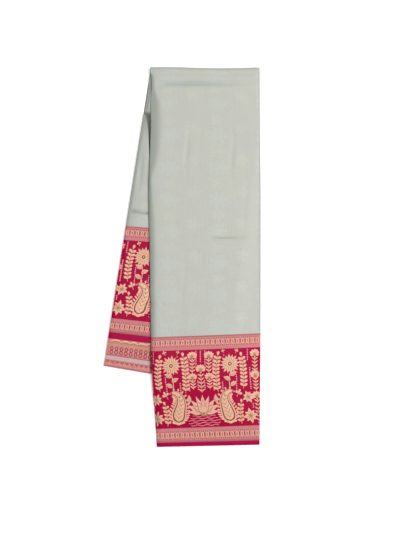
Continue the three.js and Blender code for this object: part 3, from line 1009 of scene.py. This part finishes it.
def fan_flower(w, x, y, size):
    """A lotus seen from the side: petals fanned out of a small cup."""
    for k, turn in enumerate((-84, 84, -56, 56, -28, 28, 0)):
        petal(w, x, y, 90 + turn, size * (7.4 if abs(turn) > 70 else 9.6), 5.2 * size, height=0.26 + 0.03 * k)
    for turn in (-66, -40, -14, 14, 40, 66):
        vein(w, x, y, 90 + turn, 5.6 * size, 1.0 * size, 0.52, 0.16)
    petal(w, x, y - 3.0 * size, 90, 5.4 * size, 4.0 * size, MAUVE, OLIVE, height=0.54, base=0.1)
    petal(w, x, y - 4.8 * size, 90, 3.6 * size, 3.0 * size, height=0.4)


def lotus_stem(w, x, y0, y1, pairs):
    """A straight stem with pairs of narrow leaves that point up."""
    stem(w, [(x, y0), (x, (y0 + y1) / 2), (x, y1)], 0.7)
    for k in range(pairs):
        y = mix(y0, y1, (k + 0.2) / pairs)
        for side in (-1, 1):
            petal(w, x, y, 90 - side * 50, 8.6, 2.9, pointed=True, bend=side * 0.7, count=5)


def spray(w, x0, y0, x1, y1, bend, pairs, size=1.0):
    """A bowed stem with pairs of rounded leaflets and one at its tip."""
    line = bow(x0, y0, x1, y1, bend, 2 * pairs + 2)
    stem(w, line, 0.6, CREAM)
    for k in range(1, len(line) - 1, 2):
        way = math.degrees(math.atan2(*(line[k + 1] - line[k - 1])[::-1]))
        for side in (-1, 1):
            angle = way + side * 48
            petal(w, *line[k], angle, 9.4 * size, 5.7 * size, bend=-side * 0.7, height=0.3 + 0.004 * k)
            vein(w, *line[k], angle, 5.4 * size, 1.0 * size, 0.44, 0.14)
    way = math.degrees(math.atan2(*(line[-1] - line[-3])[::-1]))
    petal(w, *line[-1], way, 9.2 * size, 5.8 * size)


def daisy(w, x, y, radius, petals, turn):
    for k in range(petals):
        angle = turn + 360 * k / petals
        c, s = math.cos(math.radians(angle)), math.sin(math.radians(angle))
        long = radius * (0.9 if k % 2 == 0 else 0.8)
        petal(w, x + c * radius * 0.1, y + s * radius * 0.1, angle, long, 5.4 * radius / petals,
              pointed=True, height=0.26 + 0.06 * (k % 2), veined=radius > 9, count=7)
    disc(w, x, y, radius * 0.19, ROSE, 0.6, 0.1)
    disc(w, x, y, radius * 0.1, CREAM, 0.75, 0.3)


def star_lily(w, x, y, radius, turn):
    for k in range(8):
        angle = turn + 360 * k / 8
        petal(w, x, y, angle, radius * (1.0 if k % 2 == 0 else 0.84), radius * 0.52, pointed=True,
              height=0.26 + 0.06 * (k % 2))
        vein(w, x, y, angle, radius * 0.62, radius * 0.13, 0.5, 0.14)
    disc(w, x, y, radius * 0.14, OLIVE, 0.62, 0.2)


def leaf(w, x, y, angle, bend=1.0, length=15.0):
    wide = 9.0
    petal(w, x, y, angle, length, wide, pointed=True, bend=bend, height=0.34, count=9)
    t = np.linspace(0.06, 0.8, 6)
    line = np.column_stack([length * t, bend * 4 * t * (1 - t)])
    w.ribbon(turned(line, x, y, angle), [0, 0.45, 0.45, 0.4, 0.3, 0], OLIVE, 0.48, 0.2)
    for k in (0.22, 0.4, 0.58):
        place = turned([(length * k, bend * 4 * k * (1 - k))], x, y, angle)[0]
        for side in (-1, 1):
            vein(w, *place, angle + side * 42, wide * 0.36, 0.8, 0.46, 0.2)


def sprig(w, x, y, angle, size):
    """Three small leaves on a short stalk."""
    end = turned([(5 * size, 0)], x, y, angle)[0]
    stem(w, [(x, y), tuple((np.array([x, y]) + end) / 2), tuple(end)], 0.55, CREAM)
    for turn in (-58, 0, 58):
        petal(w, *end, angle + turn, (6.6 if turn else 8.2) * size, 4.2 * size)


def great_lotus(w, x, y, size):
    """A large open lotus seen from the side, in three rows of petals."""
    rows = (((-84, 84, -63, 63, -42, 42, -21, 21, 0), 1.0, 0.27), ((-52, 52, -26, 26, 0), 0.72, 0.23),
            ((-40, 40, -13, 13), 0.46, 0.18))
    petals = [(turn, long, wide) for turns, long, wide in rows for turn in turns]
    for layer, (turn, long, wide) in enumerate(petals, 1):
        low = 0.045 * layer
        far = size * long * (0.86 if abs(turn) > 70 else 1.0)
        angle = 90 + turn
        petal(w, x, y, angle, far + 0.9, size * wide + 2.0, ROSE, ROSE, pointed=True, height=low + 0.06,
              base=low - 0.1, count=9)
        petal(w, x, y, angle, far, size * wide, pointed=True, height=low + 0.12, base=low + 0.03, count=9)
        start = turned([(far * 0.3, 0)], x, y, angle)[0]
        vein(w, *start, angle, far * 0.45, 1.0, low + 0.16, low + 0.04, 5)
    for turn in (-118, 118, -150, 150, 180):
        petal(w, x, y + 1, 90 + turn, size * 0.26, size * 0.15, OLIVE, TAN, pointed=True, height=1.0,
              base=0.3)
    disc(w, x, y, size * 0.08, ROSE, 1.15, 0.5)


def paisley(w, x, y, tall):
    """A mango drop that stands on its round end and curls over at the top, with a scalloped edge."""
    t = np.linspace(0, 1, 30)
    heading = np.radians(90 + 20 * np.sin(np.pi * t) - 300 * np.clip(t - 0.36, 0, 1) ** 1.7)
    step = 1.42 * tall / 29
    line = np.column_stack([x + np.concatenate([[0], np.cumsum(np.cos(heading[:-1]) * step)]),
                            y + np.concatenate([[0], np.cumsum(np.sin(heading[:-1]) * step)])])
    belly = 0.26
    past = np.clip((t - belly) / (1 - belly), 0, 1)
    round_end = np.sqrt(np.maximum(1 - ((belly - t) / belly) ** 2, 0))
    half = np.where(t < belly, round_end, (1 - past) ** 0.9 * (1 + 0.25 * past)) * tall * 0.3
    half[[0, -1]] = 0
    ways = np.degrees(np.arctan2(*(np.roll(line, -1, axis=0) - np.roll(line, 1, axis=0)).T[::-1]))
    for k in range(1, 26, 2):
        for edge in (-1, 1):
            out = math.radians(ways[k] + edge * 90)
            place = line[k] + np.array([math.cos(out), math.sin(out)]) * half[k] * 0.72
            petal(w, *place, ways[k] + edge * 62, half[k] * 0.3 + tall * 0.09, tall * 0.075, height=0.26)
    w.ribbon(line, half * 0.84, fade(CREAM, BLUSH, t), 0.34, 0.02)
    for inset, share, root, tip, height in ((1, 0.68, ROSE, ROSE, 0.42),
                                            (2, 0.54, mix(BLUSH, CREAM, 0.65), CREAM, 0.5)):
        inner = half[inset:-inset] * share
        inner = inner * np.sqrt(1 - np.clip(1 - np.arange(len(inner)) / 4, 0, 1) ** 2)
        inner[-1] = 0
        w.ribbon(line[inset:-inset], inner, fade(root, tip, t)[inset:-inset], height, height - 0.3)
    for k in range(5, 22, 3):
        for turn in (-42, 42):
            vein(w, *line[k], ways[k] + turn, half[k] * 0.6, tall * 0.03, 0.62, 0.3, 5)
        disc(w, *line[k], tall * 0.026, ROSE, 0.72, 0.4, count=4)
    daisy(w, *line[4], tall * 0.13, 8, 12)


def beads(w, x, y0, y1):
    """A string of round beads, up from y0."""
    for y in np.arange(y0, y1, BEAD_PITCH):
        dots(w, [x], y, 1.4, BEAD, 0.24)


def water(w, reach, y, rows):
    """Rows of ripples, longest in the middle."""
    for k in range(rows):
        far = reach - abs(k - rows / 2 + 1) * WATER_PITCH
        xs = np.linspace(-far, far, 26)
        ys = y + WATER_PITCH * k + 0.9 * np.sin(xs / 2.6 + 0.3 + 1.9 * k)
        half = np.full(26, 0.62)
        half[[0, -1]] = 0
        w.ribbon(np.column_stack([xs, ys]), half, BEAD, 0.18)


REPEAT = 98.6  # from one line of symmetry in the frieze to the next


def garden():
    """What lies between the frieze's two lines of symmetry: a mango drop among flowering plants."""
    g = Weave()
    for y, size, low in ((126, 1.15, 98), (88, 1.05, 68)):
        lotus_stem(g, 15, low, y - 4, int((y - low) / 6.2))
        fan_flower(g, 15, y, size)
    spray(g, 29.5, 62, 31, 127, 3, 9)
    spray(g, 75, 66, 74, 124, -3, 8)
    daisy(g, 53, 112, 19.5, 16, 6)
    stem(g, bow(53, 96, 52, 62, -2), 0.9)
    leaf(g, 53, 90, 28)
    leaf(g, 53, 82, 152, -1)
    leaf(g, 52, 72, 30)
    paisley(g, 47, 4, 53)
    star_lily(g, 84, 17, 15, 10)
    star_lily(g, 83, 51, 12.5, 24)
    spray(g, 67, 3, 68.5, 40, 2, 5, 0.9)
    leaf(g, 26, 42, 96, length=17)
    sprig(g, 62, 52, 62, 1.2)
    sprig(g, 63, 131, 66, 0.7)
    sprig(g, 42, 132, 110, 0.6)
    for x, y0, y1 in ((22.5, 98, 124), (22, 66, 80), (64, 82, 94), (89, 66, 106), (85, 118, 137),
                      (38, 64, 82), (6, 68, 86), (90, 32, 40), (42, 128, 131), (8, 112, 137), (97, 4, 7),
                      (63, 66, 76)):
        beads(g, x, y0, y1)
    return g


def pond():
    """On one line of symmetry: a great lotus on ripples."""
    g = Weave()
    great_lotus(g, 0, 25, 33)
    water(g, 32, 2.8, 5)
    lotus_stem(g, 0, 62, 96, 5)
    fan_flower(g, 0, 102, 1.2)
    beads(g, 0, 118, 137)
    return g


def column():
    """On the other line of symmetry: three lotuses above each other."""
    g = Weave()
    for low, high, pairs, flower in ((96, 122, 4, 126), (62, 86, 4, 88), (6, 46, 6, 50)):
        lotus_stem(g, 0, low, high, pairs)
        fan_flower(g, 0, flower, 1.2)
    return g


def frieze(w, base, middle, low, high):
    """The repeat, turned about every other time, with a great lotus at middle."""
    plants, lotus, upright = garden(), pond(), column()
    for k in range(-2, 3):
        merge(w, lotus if k % 2 == 0 else upright, middle + k * REPEAT, base, low, high)
        merge(w, plants, middle + (k + k % 2) * REPEAT, base, low, high, -1 if k % 2 else 1)


def merge(w, g, x, y, low, high, mirror=1):
    """Adds a motif's ribbons at a place, cut off at the cloth's edges."""
    points = np.array(g.points)
    points[:, 0] = x + mirror * points[:, 0]
    points[:, 1] += y
    owner = np.array(g.owner)
    inside = (points[:, 0] > low + 0.4) & (points[:, 0] < high - 0.4)
    keep = np.isin(owner, np.unique(owner[inside]))
    number = np.cumsum(keep) - 1 + len(w.points)
    points[:, 0] = np.clip(points[:, 0], low, high)
    w.points += [tuple(p) for p in points[keep]]
    w.tints += list(np.array(g.tints)[keep])
    w.owner += list(owner[keep] + w.ribbons)
    w.ribbons += g.ribbons
    w.faces += [[int(number[i]) for i in f] for f in g.faces if keep[f[0]]]


CHAIN_FILLS = (CORAL, MAUVE, TAN, MAUVE, OLIVE, MAUVE, SALMON)


def chain_band(w, base, flip, low, high, phase=0.0):
    """Ovals with dark bars between them and a row of dots on each side. base is the band's lower line."""
    middle = base + (11.9 if flip else 13.3)
    t = np.linspace(0, 2 * np.pi, 12, endpoint=False)
    for k, x in enumerate(np.arange(low + 3.4 + phase, high - 2.6, OVAL_PITCH)):
        fills = CHAIN_FILLS[k * 3 % 7], CHAIN_FILLS[k * 5 % 7]
        petal(w, x, middle - 3.6, 90, 7.2, 3.6, *fills, pointed=True, height=0.12, count=5)
        ring = np.column_stack([x + 2.5 * np.cos(t), middle + 4.3 * np.sin(t)])
        w.ribbon(ring, 0.8, OVAL, 0.24, closed=True)
        petal(w, x, middle - 1.5, 90, 3.0, 1.1, ROSE, ROSE, pointed=True, height=0.2, count=4)
        bar = x + OVAL_PITCH / 2
        if bar < high - 1:
            petal(w, bar, middle - 4.2, 90, 8.4, 2.7, BAR, BAR, height=0.16, count=5)
            for up in (-1, 1):
                dots(w, [bar], middle + up * 4.9, 0.7, OVAL, 0.2)
                dots(w, [x + 0.9 * up], middle + up * 5.6, 0.55, BAR, 0.18)
    xs = np.arange(low + 1.6 + phase, high - 1.2, DOT_PITCH)
    for y in (middle - 6.6, middle + 6.6):
        dots(w, xs, y, 1.1, DOT, 0.16)
        dots(w, xs + DOT_PITCH / 2, y, 0.6, OVAL, 0.14)
    line = middle + (9.9 if flip else -10.9)
    for k, x in enumerate(np.arange(low + 2.6 + phase, high - 5.0, DASH_PITCH)):
        petal(w, x, line, 0, 3.6, 1.3, (TAN, MAUVE, SALMON)[k * 4 % 3], TAN, height=0.12, count=4)


def eights(w, base, low, high):
    """A row of small figures of eight in rose outline, with pale dashes between."""
    t = np.linspace(0, 2 * np.pi, 10, endpoint=False)
    xs = np.arange(low + 9, high - 2, ROW_PITCH)
    between_them = ROW_PITCH / 2
    for x in xs:
        for dy, size in ((-3.4, 3.3), (3.3, 3.0)):
            ring = np.column_stack([x + 0.78 * size * np.cos(t), base + dy + size * np.sin(t)])
            w.ribbon(ring, 0.85, ROSE, 0.22, closed=True)
        petal(w, x + between_them, base - 3.6, 90, 6.6, 1.5, BLUSH, BLUSH, height=0.2, count=4)
        for side in (-1, 1):
            petal(w, x + between_them, base + 3.6, 90 + side * 34, 3.4, 1.0, OVAL, OVAL, height=0.2, count=4)
    for dx, dy, radius, tone in ((0, -3.4, 0.8, OVAL), (0, 3.3, 0.8, OVAL),
                                 (between_them, -5.6, 0.8, BLUSH), (between_them, 4.6, 0.6, ROSE)):
        dots(w, xs + dx, base + dy, radius, tone, 0.2)


def zigzag(w, base, low, high):
    """A row of small dark triangles that point down over slanting bars."""
    for k, x in enumerate(np.arange(low + 5, high - 2, ROW_PITCH)):
        place = np.array([x, base])
        for side in (-1, 1):
            w.ribbon(place + [(side * 2.9, 3.0), (side * 1.5, 0.8), (0, -1.3)], [0.3, 0.8, 0.5], DOT, 0.2)
        petal(w, x, base + 2.9, -90, 2.6, 2.4, OLIVE, OLIVE, height=0.14, count=4)
        tone = (BLUSH, CORAL, BLUSH, OVAL)[k % 4]
        w.ribbon(place + [(1.6, -5.6), (3.6, -3.0), (4.8, -1.0)], [0.25, 0.85, 0.3], tone, 0.2)
        w.ribbon(place + [(-2.8, -5.8), (-1.4, -4.2), (-0.4, -3.0)], [0.25, 0.8, 0.3], OVAL, 0.2)


def scallops(w, base, low, high):
    """Uneven crescents of pale thread that end at the hem of the ply above, each with a painted shadow of
    olive thread under it.
    """
    rng = np.random.default_rng(5)
    x = low + 3.0
    while x < high - 8:
        wide = rng.uniform(15, 24)
        t = np.linspace(0, 1, 9)
        tall = rng.uniform(2.6, 4.4)
        line = np.column_stack([x + wide * t, base + tall * np.sin(np.pi * t)])
        half = 1.7 * np.sin(np.pi * t) ** 0.7
        half[[0, -1]] = 0
        w.ribbon(line, half, fade(CREAM * 1.15, BLUSH * 1.06, t), 0.3)
        # painted shadow: an olive ribbon under each crescent
        w.ribbon(line - [0, 2.6], half * 0.75, OLIVE * 1.05, 0.2)
        x += wide * 0.86
    for x in np.arange(low + 62, high - 2, 4.2):
        petal(w, x, base + 0.5, 90, 4.6, 1.7, height=0.34, count=4)


def lookup_front(u, up):
    """Plan points of the front drop for cloth coordinates, by its own grid."""
    down = FRONT_DROP - up
    rows = along(FRONT_SEAM - 6, FRONT_DROP, 3.0)
    grid = front_ply(rows, 0.0)
    far = from_fold(grid)
    place = np.clip((down - rows[0]) / (rows[1] - rows[0]), 0, len(rows) - 1.001)
    first = place.astype(int)
    ends = []
    for row in (first, first + 1):
        points = np.zeros((len(down), 3))
        for r in np.unique(row):
            chosen = row == r
            for axis in range(3):
                points[chosen, axis] = np.interp(u[chosen], far[r], grid[r, :, axis])
        ends.append(points)
    return mix(*ends, (place - first)[:, None])


def on_back_sheet(height, hem):
    def place(u, up):
        across, down = u / BAND, hem - up
        return np.stack([*back_plan(across, down), height(across, down)], axis=-1)
    return place


front_weave = Weave()
front_width = (-8.0, 198.5)  # from the strip round the left fold to the right edge
chain_band(front_weave, FRONT_CHAINS[0], True, *front_width)
chain_band(front_weave, FRONT_CHAINS[1], False, *front_width, 2.0)
frieze(front_weave, FRONT_CHAINS[0] + CHAIN + 1.0, 92.0, *front_width)
front_border_weave = front_weave.lay("front_border_weave", lookup_front)

back_weave = Weave()
back_width = (0.8, 120.0)  # from the left edge to well under the front drop
chain_band(back_weave, BACK_CHAINS[0], True, *back_width)
chain_band(back_weave, BACK_CHAINS[1], False, *back_width, 1.0)
frieze(back_weave, BACK_CHAINS[0] + CHAIN + 3.0, 94.0, *back_width)
back_border_weave = back_weave.lay("back_border_weave", on_back_sheet(back_top, BACK_DROP))

second_weave = Weave()
for row, base in ((zigzag, 9.6), (eights, 30.4), (scallops, 45.0)):
    row(second_weave, base, 0.8, 110.0)
second_border_weave = second_weave.lay("second_border_weave", on_back_sheet(second_top, SECOND_DROP))

# ---- What each piece rides on and stands for ----
PIECES = [
    (front_field_cloth, ("top_fold", "front_field"), "field_silk"),
    (front_border_cloth, ("front_border",), "border_silk"),
    (back_field_cloth, ("back_field",), "field_silk"),
    (back_border_cloth, ("back_border",), "border_silk"),
    (second_border_cloth, ("second_border",), "hem_silk"),
    (under_field_cloth, ("under_field",), "field_silk"),
    (under_border_cloth, ("under_border",), "border_silk"),
    (inner_plies, ("hidden_layers",), "inner_silk"),
    (front_border_weave, (), "border_silk"),
    (back_border_weave, (), "border_silk"),
    (second_border_weave, (), "hem_silk"),
]
for piece, nodes, slot in PIECES:
    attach(piece, "root")
    if nodes:
        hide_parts(*nodes)

# ---- Floor, light and camera ----
floor_mesh = bpy.data.meshes.new("floor")
floor_mesh.from_pydata([(-3, -3, 0), (3, -3, 0), (3, 3, 0), (-3, 3, 0)], [], [(0, 1, 2, 3)])
floor = bpy.data.objects.new("floor", floor_mesh)
floor.location.z = -0.0002  # a hair under the cloth
scene.collection.objects.link(floor)
FLOOR_GLOW = 0.5  # the floor is a sheet lit from below, which keeps it white round the cloth
paper = Shader("floor_paper")
floor_mesh.materials.append(paper.finish((0.94, 0.94, 0.94), 0.9, Specular_IOR_Level=0.1,
                                         Emission_Color=(1, 1, 1, 1), Emission_Strength=FLOOR_GLOW))


def area_light(name, place, size, power):
    """A round light that faces the middle of the saree."""
    data = bpy.data.lights.new(name, "AREA")
    data.size, data.energy, data.shape = size, power, "DISK"
    lamp = bpy.data.objects.new(name, data)
    lamp.location = place
    lamp.rotation_mode = "QUATERNION"
    lamp.rotation_quaternion = (-mathutils.Vector(place)).to_track_quat("-Z", "Y")
    scene.collection.objects.link(lamp)


area_light("key", (0.9, 0.15, 2.8), size=1.35, power=70)
area_light("fill", (-0.2, 1.7, 2.3), size=1.5, power=6)
world = bpy.data.worlds.new("studio")
world.use_nodes = True
sky = world.node_tree.nodes["Background"].inputs
sky["Color"].default_value = (1, 1, 1, 1)
sky["Strength"].default_value = 0.2
scene.world = world
scene.view_settings.view_transform = "Standard"

PIXEL = 0.0018  # metres of the saree to a pixel of the frame
FRAME = np.array([400, 533])
FOOTPRINT = np.array([182.25, 257.5])  # where the plan's zero lies in the frame, in pixels from its top left
CAMERA_HEIGHT = 4.0
SHARP_AT = 0.016  # height above the floor at which a pixel is PIXEL wide
camera_data = bpy.data.cameras.new("camera")
camera_data.lens = 36 * (CAMERA_HEIGHT - SHARP_AT) / (FRAME[1] * PIXEL)
camera_data.clip_end = 50
camera = bpy.data.objects.new("camera", camera_data)
aim = (FRAME / 2 - FOOTPRINT) * (PIXEL, -PIXEL) - CENTRE[:2] / 1000
camera.location = (*aim, CAMERA_HEIGHT)
scene.collection.objects.link(camera)
scene.camera = camera
